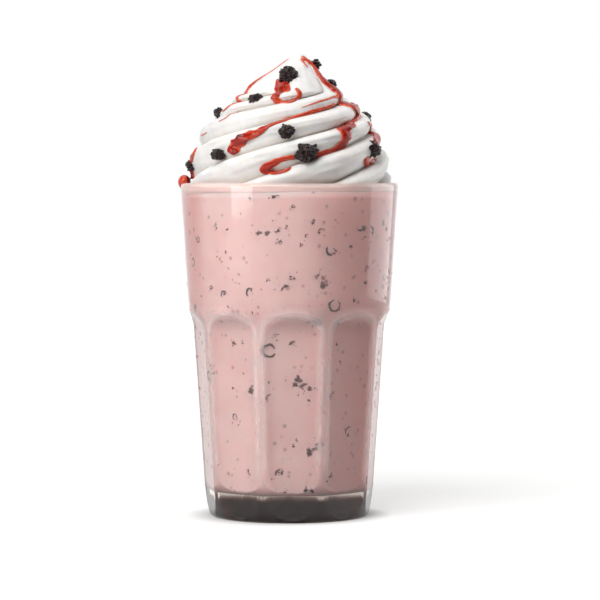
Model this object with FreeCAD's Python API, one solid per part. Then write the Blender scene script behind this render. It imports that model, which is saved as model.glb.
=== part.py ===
import FreeCAD, Part
import math
import os

from FreeCAD import Vector

# A blackcurrant milkshake in its pressed glass tumbler, under a twisted swirl of whipped cream
# dotted with shrivelled blackcurrants. Millimetres, +Z up. The origin is the middle of the
# glass's underside. The front is -Y and +X is to the right. Azimuths are degrees round the
# glass from the front, growing towards +X, which is anticlockwise from above.

UP = Vector(0, 0, 1)
ORIGIN = Vector(0, 0, 0)
# A cubic curve with square-on end poles bulges to this share of their height.
BEZIER_BULGE = 0.75

# ---------- driving dimensions: glass ----------
glass_height = 135.0
rim_radius = 44.0
wall_thickness = 2.6
band_flare = 2.8
shoulder_rise = 13.5
shoulder_step = 2.3
shoulder_foot_height = 75.5
side_taper = 4.4
foot_roll_height = 12.0
foot_roll_in = 3.3
base_thickness = 11.0
floor_corner_radius = 6.0

# ---------- driving dimensions: arch-topped panels round the glass ----------
panel_count = 9
panel_turn = 1.9
land_width = 2.8
panel_wall = 3.0
arch_roll_radius = 12.0

# ---------- driving dimensions: milkshake and whipped cream ----------
milkshake_below_rim = 3.5
cream_rise = 52.0
cream_rim_gap = 0.3
dome_fullness = 1.9
dome_roundness = 0.72
tip_radius = 1.6
tip_lean = 4.3
cone_spread = 1.51
cone_softness = 2.5
twist_rate = 230.0
twist_gain = 330.0
twist_end = 0.7
fold_start = 29.0
fold_spans = (49.0, 56.0, 76.0, 65.0, 56.0, 58.0)
fold_depth = 4.0
fold_share_of_radius = 0.2
fold_skew = 0.5
fold_sharpness = 0.6
fold_steps = (0.0, 0.04, 0.14, 0.3, 0.5, 0.72, 0.9, 1.0)
cream_sections = 30

# ---------- driving dimensions: blackcurrants ----------
berry_sink_share = 0.36
calyx_height = 0.7
calyx_foot_radius = 0.7
calyx_rim_radius = 1.1
# Each one is (azimuth, share of the cream's rise, length, width), set unevenly over the dome.
berries = (
    (86.0, 0.905, 6.4, 5.0),
    (-12.0, 0.808, 8.2, 7.6),
    (70.0, 0.748, 5.2, 5.0),
    (-84.0, 0.53, 5.6, 4.8),
    (-39.0, 0.632, 6.8, 5.0),
    (-2.0, 0.388, 6.9, 6.0),
    (10.0, 0.224, 9.2, 8.2),
    (-47.0, 0.212, 7.2, 5.6),
    (-86.0, 0.132, 6.6, 5.6),
    (62.0, 0.256, 8.6, 7.0),
    (104.0, 0.492, 6.4, 5.4),
    (129.0, 0.192, 7.8, 6.6),
    (152.0, 0.684, 7.0, 6.2),
    (171.0, 0.336, 8.4, 7.0),
    (203.0, 0.548, 6.0, 5.2),
    (218.0, 0.168, 7.4, 6.0),
    (239.0, 0.372, 6.8, 5.8),
)

# ---------- worked out from the driving dimensions ----------
milkshake_level = glass_height - milkshake_below_rim
lip_radius = wall_thickness / 2.0
lip_height = glass_height - lip_radius
bore_rim_radius = rim_radius - wall_thickness
band_foot_height = shoulder_foot_height + shoulder_rise
band_foot_radius = rim_radius - band_flare
band_lean = band_flare / (lip_height - band_foot_height)
shoulder_foot_radius = band_foot_radius - shoulder_step
shoulder_middle_height = shoulder_foot_height + shoulder_rise / 2.0
side_lean = side_taper / (shoulder_foot_height - foot_roll_height)
foot_radius = shoulder_foot_radius - side_taper - foot_roll_in
panel_span = 360.0 / panel_count
ridge_half_angle = panel_span / 2.0
land_half_angle = math.degrees(land_width / 2.0 / shoulder_foot_radius)
panel_half_angle = ridge_half_angle - land_half_angle
panel_depth_share = math.cos(math.radians(panel_half_angle))
cream_base_radius = bore_rim_radius - cream_rim_gap
clear_of_glass = 1.5 * rim_radius


def around(radius, azimuth, height):
    """A point at a radius and an azimuth from the front."""
    angle = math.radians(azimuth)
    return Vector(radius * math.sin(angle), -radius * math.cos(angle), height)


def line(start, end):
    return Part.LineSegment(start, end).toShape()


def curve(*poles):
    """A smooth run that leaves and arrives along its first and last pairs of poles."""
    bezier = Part.BezierCurve()
    bezier.setPoles(list(poles))
    return bezier.toShape()


def arc(start, middle, end):
    return Part.Arc(start, middle, end).toShape()


def revolved(edges):
    """The solid swept by a closed outline in the XZ plane turned once about the axis."""
    return Part.Face(Part.Wire(edges)).revolve(ORIGIN, UP, 360)


# ---------- glass ----------
def side_radius(height):
    """Outer radius of the lands between the panels, on the straight lean of the lower glass."""
    return shoulder_foot_radius - side_lean * (shoulder_foot_height - height)


def panel_depth(height):
    """Distance from the axis to the flat of a panel."""
    return side_radius(height) * panel_depth_share


def glass_outside():
    """The pressed blank: tapered smooth band, rounded shoulder, leaning lower side, rolled foot."""
    lip = Vector(rim_radius, 0, lip_height)
    band_foot = Vector(band_foot_radius, 0, band_foot_height)
    upper_pole = Vector(band_foot_radius - band_lean * shoulder_rise / 2.0, 0, shoulder_middle_height)
    lower_pole = Vector(side_radius(shoulder_middle_height), 0, shoulder_middle_height)
    shoulder_foot = Vector(shoulder_foot_radius, 0, shoulder_foot_height)
    roll_top = Vector(side_radius(foot_roll_height), 0, foot_roll_height)
    roll_pole = Vector(side_radius(foot_roll_height / 3.0), 0, foot_roll_height / 3.0)
    edge_pole = Vector((foot_radius + roll_pole.x) / 2.0, 0, 0)
    foot_edge = Vector(foot_radius, 0, 0)
    top = Vector(0, 0, lip_height)
    return revolved([
        line(ORIGIN, foot_edge),
        curve(foot_edge, edge_pole, roll_pole, roll_top),
        line(roll_top, shoulder_foot),
        curve(shoulder_foot, lower_pole, upper_pole, band_foot),
        line(band_foot, lip),
        line(lip, top),
        line(top, ORIGIN),
    ])


def lip_ring():
    """The half-round lip that closes the wall at the top."""
    outer = Vector(rim_radius, 0, lip_height)
    inner = Vector(bore_rim_radius, 0, lip_height)
    crown = Vector(rim_radius - lip_radius, 0, glass_height)
    return revolved([arc(outer, crown, inner), line(inner, outer)])


def panel_cutter(index, inset):
    """What is pressed away in front of one panel: a flat that rolls outwards at its top.

    The inset moves the flat inwards by the wall, to shape the inside of the glass in the same way.

    The roll meets the round shoulder in an arch, because the shoulder curves away at the sides.
    """
    lean = math.atan(side_lean * panel_depth_share)
    along = Vector(math.sin(lean), 0, math.cos(lean))
    across = Vector(math.cos(lean), 0, -math.sin(lean))
    flat_start = Vector(panel_depth(-base_thickness), 0, -base_thickness)
    flat_end = Vector(panel_depth(shoulder_foot_height), 0, shoulder_foot_height)
    roll_centre = flat_end + across * arch_roll_radius
    roll_middle = roll_centre + (along - across) * (arch_roll_radius * math.sqrt(0.5))
    roll_end = roll_centre + along * arch_roll_radius
    outline = Part.Wire([
        line(flat_start, flat_end),
        arc(flat_end, roll_middle, roll_end),
        line(roll_end, Vector(clear_of_glass, 0, roll_end.z)),
        line(Vector(clear_of_glass, 0, roll_end.z), Vector(clear_of_glass, 0, flat_start.z)),
        line(Vector(clear_of_glass, 0, flat_start.z), flat_start),
    ])
    half_width = rim_radius * math.sin(math.radians(panel_span))
    cutter = Part.Face(outline).extrude(Vector(0, 2.0 * half_width, 0))
    cutter.translate(Vector(-inset, -half_width, 0))
    cutter.rotate(ORIGIN, UP, -90.0 + panel_turn + index * panel_span)
    return cutter


def bore():
    """The space inside the glass, from its floor up through the rim, panelled below the band."""
    floor_middle = Vector(0, 0, base_thickness)
    corner_top = base_thickness + floor_corner_radius
    floor_side = Vector(side_radius(corner_top) - panel_wall, 0, corner_top)
    floor_edge = Vector(floor_side.x - floor_corner_radius, 0, base_thickness)
    floor_corner = Vector(floor_side.x - side_lean * floor_corner_radius, 0, base_thickness)
    shoulder_foot = Vector(shoulder_foot_radius - panel_wall, 0, shoulder_foot_height)
    lower_pole = Vector(side_radius(shoulder_middle_height) - panel_wall, 0, shoulder_middle_height)
    band_foot = Vector(band_foot_radius - wall_thickness, 0, band_foot_height)
    upper_pole = Vector(band_foot.x - band_lean * shoulder_rise / 2.0, 0, shoulder_middle_height)
    lip = Vector(bore_rim_radius, 0, lip_height)
    mouth = Vector(bore_rim_radius, 0, glass_height + wall_thickness)
    space = revolved([
        line(floor_middle, floor_edge),
        curve(floor_edge, floor_corner, floor_side),
        line(floor_side, shoulder_foot),
        curve(shoulder_foot, lower_pole, upper_pole, band_foot),
        line(band_foot, lip),
        line(lip, mouth),
        line(mouth, Vector(0, 0, mouth.z)),
        line(Vector(0, 0, mouth.z), floor_middle),
    ])
    for index in range(panel_count):
        space = space.cut(panel_cutter(index, panel_wall))
    return space


def filling(low, high):
    """What fills the bore between two heights."""
    slab = Part.makeCylinder(clear_of_glass, high - low, Vector(0, 0, low))
    return bore().common(slab)


def make_glass():
    glass = glass_outside()
    for index in range(panel_count):
        glass = glass.cut(panel_cutter(index, 0.0))
    return glass.fuse(lip_ring()).cut(bore())


# ---------- milkshake ----------
def make_milkshake():
    return filling(0.0, milkshake_level)


# ---------- whipped cream ----------
def dome_radius(rise):
    """Radius over the fold crests at a share of the cream's rise above the rim.

    The lower cream is a full dome and the upper cream a cone, and the smaller of the two holds.
    """
    swell = max(0.0, 1.0 - rise ** dome_fullness) ** dome_roundness
    dome = tip_radius + (cream_base_radius - tip_radius) * swell
    cone = tip_radius + cone_spread * cream_base_radius * max(0.0, 1.0 - rise)
    share = min(1.0, max(0.0, 0.5 + 0.5 * (cone - dome) / cone_softness))
    return cone + (dome - cone) * share - cone_softness * share * (1.0 - share)


def dome_lean(rise):
    """How far the dome's middle has moved towards +X."""
    return tip_lean * rise ** 3


def fold_dip(rise):
    """How deep the creases between folds are."""
    return min(fold_depth, fold_share_of_radius * dome_radius(rise))


def fold_shape(step):
    """The section of one fold from crease to crease: a sharp ledge, then a long soft slope."""
    return math.sin(math.pi * step ** fold_skew) ** fold_sharpness if 0.0 < step < 1.0 else 0.0


def dome_twist(rise):
    """Degrees that the creases have turned by a share of the rise. They climb the cone straight."""
    turning = min(rise, twist_end)
    return twist_rate * turning + twist_gain * turning ** 3


def cream_section(rise):
    """The closed outline of the twisted folds at a share of the rise."""
    crest = dome_radius(rise)
    dip = fold_dip(rise)
    height = glass_height + cream_rise * rise
    shift = Vector(dome_lean(rise), 0, 0)
    azimuth = fold_start + dome_twist(rise)
    edges = []
    for span in fold_spans:
        points = []
        for step in fold_steps:
            radius = crest - dip * (1.0 - fold_shape(step))
            points.append(around(radius, azimuth + span * step, height) + shift)
        outline = Part.BSplineCurve()
        outline.interpolate(points)
        edges.append(outline.toShape())
        azimuth += span
    return Part.Wire(edges)


def make_cream():
    """The twisted dome, and the disc of cream under it that fills the glass down to the milkshake."""
    sections = [cream_section(index / (cream_sections - 1)) for index in range(cream_sections)]
    dome = Part.makeLoft(sections, True, True)
    return filling(milkshake_level, glass_height).fuse(dome).removeSplitter()


# ---------- blackcurrants ----------
def berry_solid(length, width):
    """A berry about its own middle, round about X, with its dried calyx standing out at one end."""
    stalk_end = Vector(-length / 2.0, 0, 0)
    eye = Vector(length / 2.0 - calyx_height, 0, 0)
    girth = width / 2.0 / BEZIER_BULGE
    skin = curve(stalk_end, stalk_end + UP * girth, eye + UP * girth, eye)
    body = Part.Face(Part.Wire([skin, line(eye, stalk_end)])).revolve(ORIGIN, Vector(1, 0, 0), 360)
    calyx_foot = eye - Vector(calyx_height, 0, 0)
    calyx = Part.makeCone(calyx_foot_radius, calyx_rim_radius, 2.0 * calyx_height, calyx_foot,
                          Vector(1, 0, 0))
    return body.fuse(calyx)


def make_berry(azimuth, rise, length, width):
    """A berry in its place, lying along the dome and sunk square into it."""
    small_rise = 0.01
    drop_in = dome_radius(rise) - dome_radius(rise + small_rise)
    lean = math.atan2(drop_in, cream_rise * small_rise)
    seat_radius = dome_radius(rise) - fold_dip(rise) / 2.0
    stand_off = width * (0.5 - berry_sink_share)
    berry = berry_solid(length, width)
    berry.rotate(ORIGIN, UP, azimuth)
    centre = around(seat_radius + stand_off * math.cos(lean), azimuth,
                    glass_height + cream_rise * rise + stand_off * math.sin(lean))
    berry.translate(centre + Vector(dome_lean(rise), 0, 0))
    return berry


def save(shape, node):
    """Writes one node and prints what it holds."""
    shape.exportStep("parts/" + node + ".step")
    print(node, "solids", len(shape.Solids), "valid", shape.isValid(), "volume", round(shape.Volume, 1))


os.makedirs("parts", exist_ok=True)
save(make_glass(), "glass")
save(make_milkshake(), "milkshake")
cream = make_cream()
for number, berry_values in enumerate(berries, start=1):
    berry = make_berry(*berry_values)
    cream = cream.cut(berry)
    save(berry, "blackcurrant_{:02d}".format(number))
save(cream, "whipped_cream")
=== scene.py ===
# %% [markdown]
# # A blackcurrant milkshake in a pressed glass
#
# A tall pressed tumbler holds a pale pink milkshake full of crushed blackcurrant skins. A swirl
# of whipped cream stands on top, streaked with red fruit sauce and dotted with shrivelled
# blackcurrants. The solids of the frame give every piece its place and size. This lesson gives
# each one its finish, and models again, with finer meshes, whatever shows soft or wet.

# %% Load the fixed frame
import math
import random

import bmesh
import bpy
import numpy as np
from mathutils import Matrix, Vector, noise
from mathutils.bvhtree import BVHTree


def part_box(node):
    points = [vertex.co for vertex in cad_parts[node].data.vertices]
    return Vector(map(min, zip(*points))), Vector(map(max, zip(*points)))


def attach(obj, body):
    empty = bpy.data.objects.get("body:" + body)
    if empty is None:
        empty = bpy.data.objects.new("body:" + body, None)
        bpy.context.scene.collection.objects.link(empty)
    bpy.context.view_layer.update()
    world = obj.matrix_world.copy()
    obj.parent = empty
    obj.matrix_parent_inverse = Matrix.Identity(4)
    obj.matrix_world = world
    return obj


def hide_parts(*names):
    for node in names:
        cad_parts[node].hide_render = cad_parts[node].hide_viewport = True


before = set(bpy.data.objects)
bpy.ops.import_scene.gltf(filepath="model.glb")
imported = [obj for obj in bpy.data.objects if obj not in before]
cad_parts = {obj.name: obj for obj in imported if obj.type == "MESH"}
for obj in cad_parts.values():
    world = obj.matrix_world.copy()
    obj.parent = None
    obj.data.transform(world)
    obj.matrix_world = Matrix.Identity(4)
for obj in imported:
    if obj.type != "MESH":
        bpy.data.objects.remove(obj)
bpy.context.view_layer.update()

MM = 0.001
scene = bpy.context.scene

# %% [markdown]
# ## Reading sizes from the frame
#
# The boxes of the glass and of the cream give the outer sizes. What a box can't give, such as
# the height of the shoulder or the thickness of the wall, is a value with a name, the same as in
# the construction. Lengths are written in millimetres and turned to metres where they are used.
# A direction round the axis is an azimuth, in degrees from the front towards the right.

# %% Sizes of the glass, the milkshake and the cream
glass_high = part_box("glass")[1]
milk_low, milk_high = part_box("milkshake")
cream_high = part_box("whipped_cream")[1]

glass_height = glass_high.z / MM
base_thickness = milk_low.z / MM
milk_level = milk_high.z / MM
cream_top = cream_high.z / MM
cream_rise = cream_top - glass_height

rim_radius = 44.0
wall_thickness = 2.6
band_flare = 2.8
shoulder_rise = 13.5
shoulder_step = 2.3
shoulder_foot = 75.5
side_taper = 4.4
foot_roll_height = 12.0
foot_roll_in = 3.3
floor_corner = 6.0
panel_count = 9
panel_turn = 1.9
land_width = 2.8
panel_wall = 3.0
arch_roll = 12.0

lip_radius = wall_thickness / 2.0
lip_height = glass_height - lip_radius
bore_rim = rim_radius - wall_thickness
band_foot = shoulder_foot + shoulder_rise
band_foot_radius = rim_radius - band_flare
shoulder_radius = band_foot_radius - shoulder_step
side_lean = side_taper / (shoulder_foot - foot_roll_height)
panel_half_angle = math.pi / panel_count - land_width / 2.0 / shoulder_radius
panel_share = math.cos(panel_half_angle)
print("glass", round(glass_height, 1), "milkshake up to", round(milk_level, 1),
      "cream up to", round(cream_top, 1))

# %% [markdown]
# ## Helpers for meshes
#
# Everything in a glass is nearly round, so most pieces here are a skin over a stack of rings. One
# function makes such a skin from an array of rings and closes its two ends with fans. The rings
# can be any shape, so the same function serves the panelled glass, the milkshake, the folded
# cream and a thread of sauce. Another makes the object, lets it ride on the glass's body and
# hides the solid that it replaces.

# %% A skin over rings
def skin_over(rings):
    """Vertices and faces of a closed skin over an array of rings, shaped (rings, points, 3)."""
    rows, columns = rings.shape[:2]
    vertices = [tuple(point) for point in rings.reshape(-1, 3)]
    faces = []
    for row in range(rows - 1):
        for column in range(columns):
            after = (column + 1) % columns
            low, high = row * columns, (row + 1) * columns
            faces.append((low + column, low + after, high + after, high + column))
    for ring, order in ((0, -1), (rows - 1, 1)):
        middle = len(vertices)
        vertices.append(tuple(rings[ring].mean(axis=0)))
        for column in range(columns):
            edge = (ring * columns + column, ring * columns + (column + 1) % columns)
            faces.append((edge[0], edge[1], middle) if order > 0 else (edge[1], edge[0], middle))
    return vertices, faces


def make_piece(name, vertices, faces, slot_name, *nodes):
    """A smooth object from millimetre points, riding on the glass's body in place of its nodes."""
    mesh = bpy.data.meshes.new(name)
    mesh.from_pydata([(x * MM, y * MM, z * MM) for x, y, z in vertices], [], faces)
    mesh.validate()
    mesh.shade_smooth()
    piece = bpy.data.objects.new(name, mesh)
    scene.collection.objects.link(piece)
    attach(piece, "root")
    if nodes:
        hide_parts(*nodes)
    print(name, len(mesh.vertices), "points", len(mesh.polygons), "faces")
    return piece


def joined(parts):
    """One list of vertices and one of faces from several."""
    vertices, faces = [], []
    for part_vertices, part_faces in parts:
        start = len(vertices)
        vertices.extend(part_vertices)
        faces.extend(tuple(index + start for index in face) for face in part_faces)
    return vertices, faces


def around(radius, azimuth, height):
    """A point in millimetres, with the azimuth in degrees from the front towards the right."""
    angle = math.radians(azimuth)
    return (radius * math.sin(angle), -radius * math.cos(angle), height)


def level_ring(radius, height, azimuths):
    """A round, level ring of points."""
    return [around(radius, azimuth, height) for azimuth in azimuths]


print("the front of the rim is at", [round(value, 1) for value in around(rim_radius, 0.0, glass_height)])

# %% [markdown]
# ## Helpers for materials
#
# Colours are written as sRGB hex values, as a picture editor shows them, and turned to the
# linear values that a renderer works in. One small function adds any node: its properties, the
# plain values of its sockets, and the links that feed it.

# %% Colours and nodes
def linear(hex_colour):
    """An sRGB hex colour as linear red, green, blue and alpha, by the sRGB standard's curve."""
    channels = [int(hex_colour[start:start + 2], 16) / 255.0 for start in (1, 3, 5)]
    straight_end, straight_slope, offset, power = 0.04045, 12.92, 0.055, 2.4
    return tuple(c / straight_slope if c <= straight_end else ((c + offset) / (1.0 + offset)) ** power
                 for c in channels) + (1.0,)


def add_node(material, kind, values=None, links=None, stops=None, **settings):
    """Adds one node with its settings, its socket values, its links and, on a ramp, its stops."""
    node = material.node_tree.nodes.new(kind)
    for name, value in settings.items():
        setattr(node, name, value)
    for socket, value in (values or {}).items():
        node.inputs[socket].default_value = value
    for socket, source in (links or {}).items():
        material.node_tree.links.new(source, node.inputs[socket])
    for index, (place, hex_colour) in enumerate(stops or ()):
        ramp = node.color_ramp.elements
        stop = ramp[index] if index < 2 else ramp.new(place)
        stop.position = place
        stop.color = linear(hex_colour)
    return node


def new_material(name):
    """An empty material and its output node."""
    material = bpy.data.materials.new(name)
    material.use_nodes = True
    material.node_tree.nodes.clear()
    return material, add_node(material, "ShaderNodeOutputMaterial")


def finish_material(material, output, surface):
    """Links the surface to the material's output and hands the material back."""
    material.node_tree.links.new(surface, output.inputs["Surface"])
    print("material", material.name, "of", len(material.node_tree.nodes), "nodes")
    return material


def per_metre(size_mm):
    """The scale of a pattern whose features are this many millimetres apart."""
    return 1.0 / (size_mm * MM)


print("mid grey #808080 is", round(linear("#808080")[0], 3), "of white in linear light")

# %% [markdown]
# ## Camera
#
# The glass is seen from just over its rim, nearly level, from far enough away that its sides
# stay straight. A long lens does that, as in a catalogue. The camera aims a little below the
# middle of the glass and cream together and stands a little higher than the rim. It moves
# sideways with its aim, which puts the glass left of the middle, and so needs no lens shift.

# %% The camera
camera_distance = 1250.0
camera_height = 146.0
camera_aim = 87.4
camera_side = 4.3
sensor_width = 36.0
lens_length = 185.0
camera_data = bpy.data.cameras.new("camera")
camera_data.sensor_width = sensor_width
camera_data.lens = lens_length
camera = bpy.data.objects.new("camera", camera_data)
scene.collection.objects.link(camera)
camera.location = (camera_side * MM, -camera_distance * MM, camera_height * MM)
aim = Vector((camera_side * MM, 0.0, camera_aim * MM))
camera.rotation_euler = (aim - camera.location).to_track_quat("-Z", "Y").to_euler()
scene.camera = camera
scene.view_settings.view_transform = "Standard"
print("camera looks down", round(math.degrees(math.atan2(camera_height - camera_aim, camera_distance)), 1))

# %% [markdown]
# ## Studio light
#
# A drink like this is lit by a softbox from the left, by one high in front, and by one overhead,
# which lights the cream and misses the upright sides. They leave a soft shadow side on the right,
# where one behind draws a broad pale line down the edge. A narrow strip stands close by on the
# left: the band of the glass leans outwards, so it mirrors only what is low and near, and the
# strip's mirror image is the long highlight down the band.
#
# A softbox with a hard edge would leave a hard edge in the glass. A real one dims towards its
# sides, and so do the two that are mirrored here: each is a few lamps of falling width, one over
# the other.
#
# The world lights the object only a little. The camera, and rays that pass through the glass,
# find it white, as if a sheet hung behind. Mirror images find it white behind and dark in front,
# as in a studio, because a glass in an all-white room would show no edges. A ray that has met the
# milkshake and leaves through the glass isn't shown the white, or it would light the drink from
# all round and flatten it.

# %% Lamps and world
def softbox(name, place, width, height, watts, target=(0.0, 0.0, 90.0)):
    """A rectangular area lamp, in millimetres, turned towards a point on the glass."""
    lamp = bpy.data.lights.new(name, "AREA")
    lamp.shape = "RECTANGLE"
    lamp.size = width * MM
    lamp.size_y = height * MM
    lamp.energy = watts
    holder = bpy.data.objects.new(name, lamp)
    scene.collection.objects.link(holder)
    holder.location = Vector(place) * MM
    holder.rotation_euler = (Vector(target) * MM - holder.location).to_track_quat("-Z", "Y").to_euler()
    return holder


def feathered_softbox(name, place, width, height, watts):
    """A softbox that dims towards its sides: lamps of falling width, one over the other."""
    widths = (1.1, 0.92, 0.74, 0.56, 0.38, 0.2)
    for number, share in enumerate(widths, start=1):
        softbox("{}_{}".format(name, number), place, width * share, height, watts * share / sum(widths))


# Place, width and height in millimetres, and power in watts.
softbox("key_softbox", (-740.0, -610.0, 190.0), 420.0, 380.0, 2.3)
feathered_softbox("near_strip", (-345.0, -250.0, 152.0), 190.0, 296.0, 0.22)
softbox("high_softbox", (-260.0, -540.0, 760.0), 560.0, 560.0, 6.3)
softbox("top_softbox", (-40.0, 40.0, 860.0), 420.0, 420.0, 1.4)
feathered_softbox("edge_softbox", (600.0, 330.0, 200.0), 560.0, 700.0, 7.4)

world = bpy.data.worlds.new("studio")
scene.world = world
world.use_nodes = True
world.node_tree.nodes.clear()
room_light = 0.08
mirrored_room = 0.12
sheet_edge = 0.25
before_first_bounce = 0.5
light_path = add_node(world, "ShaderNodeLightPath")
direction = add_node(world, "ShaderNodeTexCoord")
axes = add_node(world, "ShaderNodeSeparateXYZ", links={0: direction.outputs["Generated"]})
backdrop = add_node(world, "ShaderNodeMapRange", values={
    "From Min": -sheet_edge, "From Max": sheet_edge, "To Min": mirrored_room, "To Max": 1.0},
    links={"Value": axes.outputs["Y"]})
mirrored = add_node(world, "ShaderNodeMath", operation="MULTIPLY", links={
    0: backdrop.outputs["Result"], 1: light_path.outputs["Is Glossy Ray"]})
seen = add_node(world, "ShaderNodeMath", operation="MAXIMUM", links={
    0: light_path.outputs["Is Camera Ray"], 1: light_path.outputs["Is Transmission Ray"]})
seen_or_mirrored = add_node(world, "ShaderNodeMath", operation="MAXIMUM", links={
    0: seen.outputs[0], 1: mirrored.outputs[0]})
unscattered = add_node(world, "ShaderNodeMath", operation="LESS_THAN", values={1: before_first_bounce},
                       links={0: light_path.outputs["Diffuse Depth"]})
only_to_the_eye = add_node(world, "ShaderNodeMath", operation="MULTIPLY", links={
    0: seen_or_mirrored.outputs[0], 1: unscattered.outputs[0]})
strength = add_node(world, "ShaderNodeMath", operation="MAXIMUM", values={1: room_light},
                    links={0: only_to_the_eye.outputs[0]})
background = add_node(world, "ShaderNodeBackground", values={"Color": linear("#FFFFFF")},
                      links={"Strength": strength.outputs[0]})
add_node(world, "ShaderNodeOutputWorld", links={"Surface": background.outputs[0]})

# %% [markdown]
# ## Floor
#
# The floor is a sheet of matt pale card, which sends lamp light up into the drink. It comes out
# grey under the lamps, so it also glows, only for what the camera, mirrors and glass see. That
# lifts it to white, leaves the shadow of the glass on it and lights nothing. The glow fades under
# the foot, where the glass keeps light out, and grows into the distance, where the lamps fade.

# %% The paper floor
under_foot = 30.0
clear_of_the_foot = 42.0
glow_under_foot = 0.06
glow_beside = 0.5
near_sheet = 100.0
far_sheet = 1300.0
glow_gain = 0.56


def paper_floor():
    """Matt pale card: no gloss, and a faint glow to the eye alone."""
    material, output = new_material("matt_pale_card")
    path = add_node(material, "ShaderNodeLightPath")
    seen_rays = add_node(material, "ShaderNodeMath", operation="MAXIMUM", links={
        0: path.outputs["Is Camera Ray"], 1: path.outputs["Is Transmission Ray"]})
    all_rays = add_node(material, "ShaderNodeMath", operation="MAXIMUM", links={
        0: seen_rays.outputs[0], 1: path.outputs["Is Glossy Ray"]})
    place = add_node(material, "ShaderNodeTexCoord")
    distance = add_node(material, "ShaderNodeVectorMath", operation="LENGTH",
                        links={0: place.outputs["Object"]})
    clear_of_foot = add_node(material, "ShaderNodeMapRange", values={
        "From Min": under_foot * MM, "From Max": clear_of_the_foot * MM,
        "To Min": glow_under_foot, "To Max": glow_beside},
        links={"Value": distance.outputs["Value"]})
    sweep = add_node(material, "ShaderNodeMapRange", values={
        "From Min": near_sheet * MM, "From Max": far_sheet * MM, "To Min": 0.0, "To Max": glow_gain},
        links={"Value": distance.outputs["Value"]})
    sheet = add_node(material, "ShaderNodeMath", operation="ADD", links={
        0: clear_of_foot.outputs["Result"], 1: sweep.outputs["Result"]})
    unscattered = add_node(material, "ShaderNodeMath", operation="LESS_THAN",
                           values={1: before_first_bounce}, links={0: path.outputs["Diffuse Depth"]})
    eye_rays = add_node(material, "ShaderNodeMath", operation="MULTIPLY", links={
        0: all_rays.outputs[0], 1: unscattered.outputs[0]})
    glow = add_node(material, "ShaderNodeMath", operation="MULTIPLY", links={
        0: eye_rays.outputs[0], 1: sheet.outputs[0]})
    emission = add_node(material, "ShaderNodeEmission", values={"Color": linear("#FFFFFF")},
                        links={"Strength": glow.outputs[0]})
    card = add_node(material, "ShaderNodeBsdfDiffuse", values={"Color": linear("#D0D0CF")})
    both = add_node(material, "ShaderNodeAddShader", links={0: card.outputs[0], 1: emission.outputs[0]})
    return finish_material(material, output, both.outputs[0])


floor_half = 6.0
floor_mesh = bpy.data.meshes.new("floor")
floor_mesh.from_pydata([(-floor_half, -floor_half, 0.0), (floor_half, -floor_half, 0.0),
                        (floor_half, floor_half, 0.0), (-floor_half, floor_half, 0.0)], [], [(0, 1, 2, 3)])
floor = bpy.data.objects.new("floor", floor_mesh)
scene.collection.objects.link(floor)
floor_mesh.materials.append(paper_floor())
print("floor", 2.0 * floor_half, "m square")

# %% [markdown]
# ## The glass's outline
#
# The tumbler is pressed in a mould: a smooth band above, a rounded shoulder, and nine arch-topped
# flats below that run down to a thick base. After pressing, a flame melts its edges round, which
# is called fire-polishing. The construction has the same shape with sharp edges. Bevelling it
# would leave uneven facets in what the glass bends, so the surface is worked out again from its
# sizes, and the edge between a flat and the round side is a soft minimum of the two radii.

# %% Outlines of the blank and of the bore
def bezier(poles, count):
    """Points along a curve of three or four poles."""
    degree = len(poles) - 1
    points = []
    for index in range(count):
        t = index / (count - 1)
        weights = [math.comb(degree, k) * t ** k * (1.0 - t) ** (degree - k) for k in range(degree + 1)]
        points.append(tuple(sum(w * pole[axis] for w, pole in zip(weights, poles)) for axis in (0, 1)))
    return points


def side_radius(height):
    """Radius of the round blank between the foot and the shoulder, at a height."""
    return shoulder_radius - side_lean * (shoulder_foot - height)


band_lean = band_flare / (lip_height - band_foot)
shoulder_middle = shoulder_foot + shoulder_rise / 2.0
foot_pole = (side_radius(foot_roll_height / 3.0), foot_roll_height / 3.0)
foot_edge_radius = shoulder_radius - side_taper - foot_roll_in
curve_points = 18
blank_outline = bezier([
    (foot_edge_radius, 0.0), ((foot_edge_radius + foot_pole[0]) / 2.0, 0.0), foot_pole,
    (side_radius(foot_roll_height), foot_roll_height)], curve_points)
blank_outline += bezier([
    (shoulder_radius, shoulder_foot), (side_radius(shoulder_middle), shoulder_middle),
    (band_foot_radius - band_lean * shoulder_rise / 2.0, shoulder_middle),
    (band_foot_radius, band_foot)], curve_points)
blank_outline.append((rim_radius, lip_height))

corner_top = base_thickness + floor_corner
corner_radius = side_radius(corner_top) - panel_wall
bore_outline = bezier([
    (corner_radius - floor_corner, base_thickness),
    (corner_radius - side_lean * floor_corner, base_thickness), (corner_radius, corner_top)], curve_points)
bore_outline += bezier([
    (shoulder_radius - panel_wall, shoulder_foot),
    (side_radius(shoulder_middle) - panel_wall, shoulder_middle),
    (band_foot_radius - wall_thickness - band_lean * shoulder_rise / 2.0, shoulder_middle),
    (band_foot_radius - wall_thickness, band_foot)], curve_points)
bore_outline.append((bore_rim, lip_height))


def bore_radius(height):
    """Radius of the inside of the glass at a height."""
    return float(np.interp(height, [p[1] for p in bore_outline], [p[0] for p in bore_outline]))


print("bore at the floor's corner", round(bore_radius(corner_top), 1),
      "and under the rim", round(bore_rim, 1))

# %% [markdown]
# Each flat leans with the side and rolls outwards at its top, and that roll is what cuts the
# arch. Along any direction, the surface is at the smaller of two radii, the round blank's and the
# nearest flat's, with a soft change between them. Glass that is pressed into the corner of a mould
# leaves a low rounded rib there, and ribs bend light the most, so each edge gets one. The inside
# has the same flats, a wall further in, with softer edges.

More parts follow.
